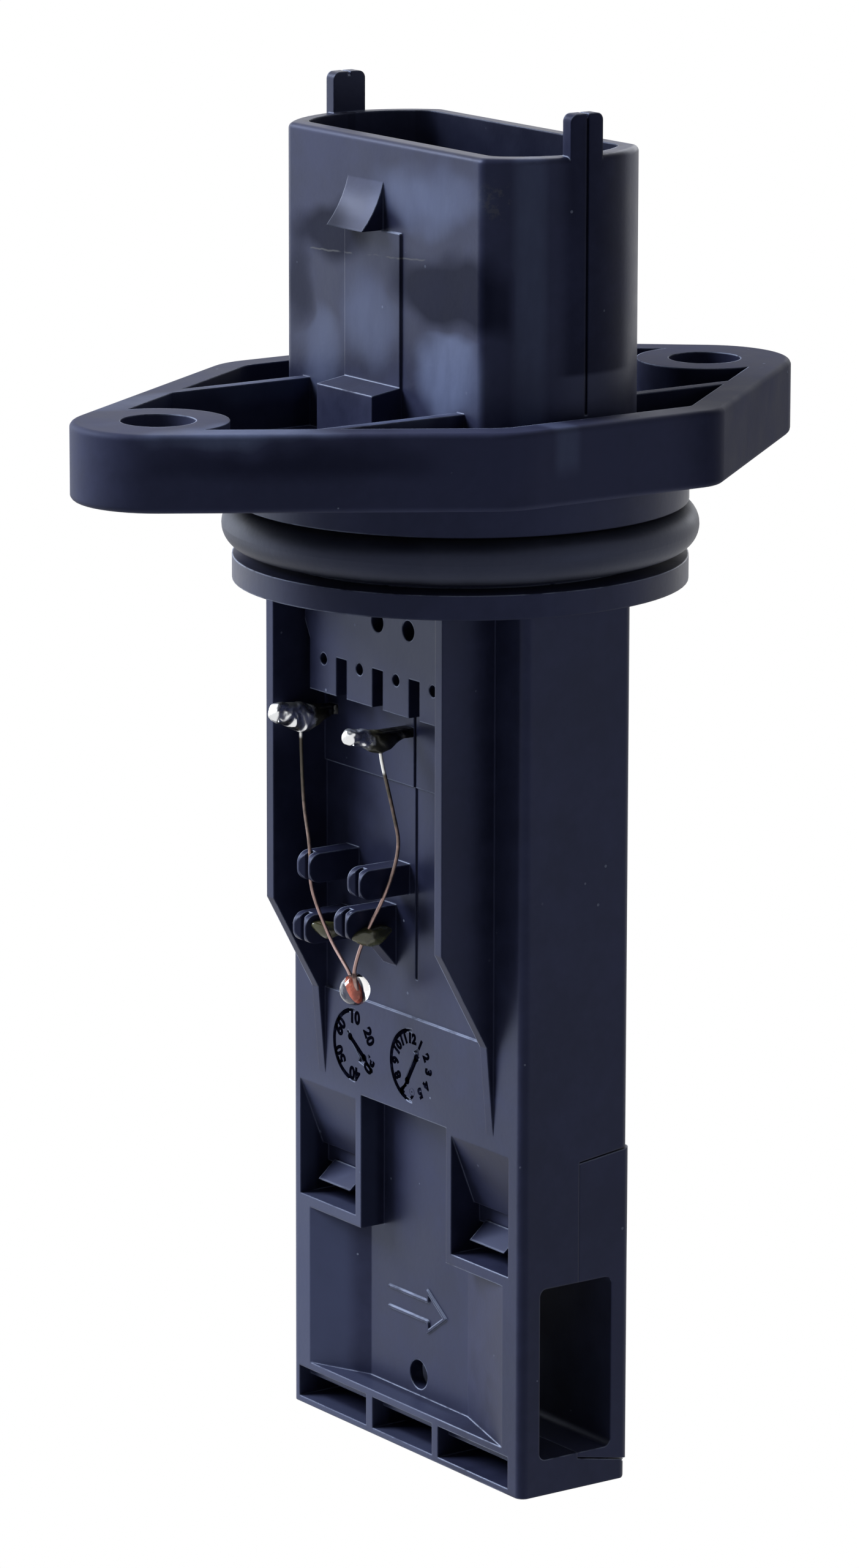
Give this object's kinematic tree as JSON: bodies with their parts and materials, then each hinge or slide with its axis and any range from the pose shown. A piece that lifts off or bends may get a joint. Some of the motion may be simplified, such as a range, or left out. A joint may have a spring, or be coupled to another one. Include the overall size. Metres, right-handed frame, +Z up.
{
  "type": "mass airflow sensor",
  "caption": "Plug-in probe that measures the air drawn through an engine's intake duct, with a sealed spigot, a two-hole flange, a temperature bead and a connector.",
  "frame": {"origin": "on the spigot's axis, in the underside of the flange, where it meets the duct's seat", "axes": "+Z up along the spigot to the connector, +X along the air flow through the probe, -Y out of the wide face that carries the temperature bead"},
  "size_m": [0.0336, 0.0546, 0.0906],
  "materials": {
    "housing": "satin",
    "seal": "matt",
    "cover": "satin",
    "board": "satin",
    "chip": "matt",
    "capacitor": "satin",
    "resistor": "satin",
    "terminal": "tinned",
    "bond_wire": "bright",
    "carrier": "matt",
    "element": "polished",
    "post": "tinned",
    "solder": "bright",
    "lead": "bright",
    "bead_glass": "clear",
    "thermistor": "matt",
    "adhesive": "gloss"
  },
  "bodies": {
    "root": {"main_housing": "housing", "o_ring": "seal", "channel_cover": "cover", "electronics_cover": "cover", "circuit_board": "board", "evaluation_chip": "chip", "board_capacitors": "capacitor", "board_resistors": "resistor", "terminal_1": "terminal", "terminal_2": "terminal", "terminal_3": "terminal", "terminal_4": "terminal", "terminal_5": "terminal", "bond_wires": "bond_wire", "sensor_carrier": "carrier", "sensing_element": "element", "bead_post_left": "post", "bead_post_right": "post", "solder_left": "solder", "solder_right": "solder", "lead_wire_left": "lead", "lead_wire_right": "lead", "thermistor": "thermistor", "glass_bead": "bead_glass", "adhesive_left": "adhesive", "adhesive_right": "adhesive"}
  },
  "joints": []
}
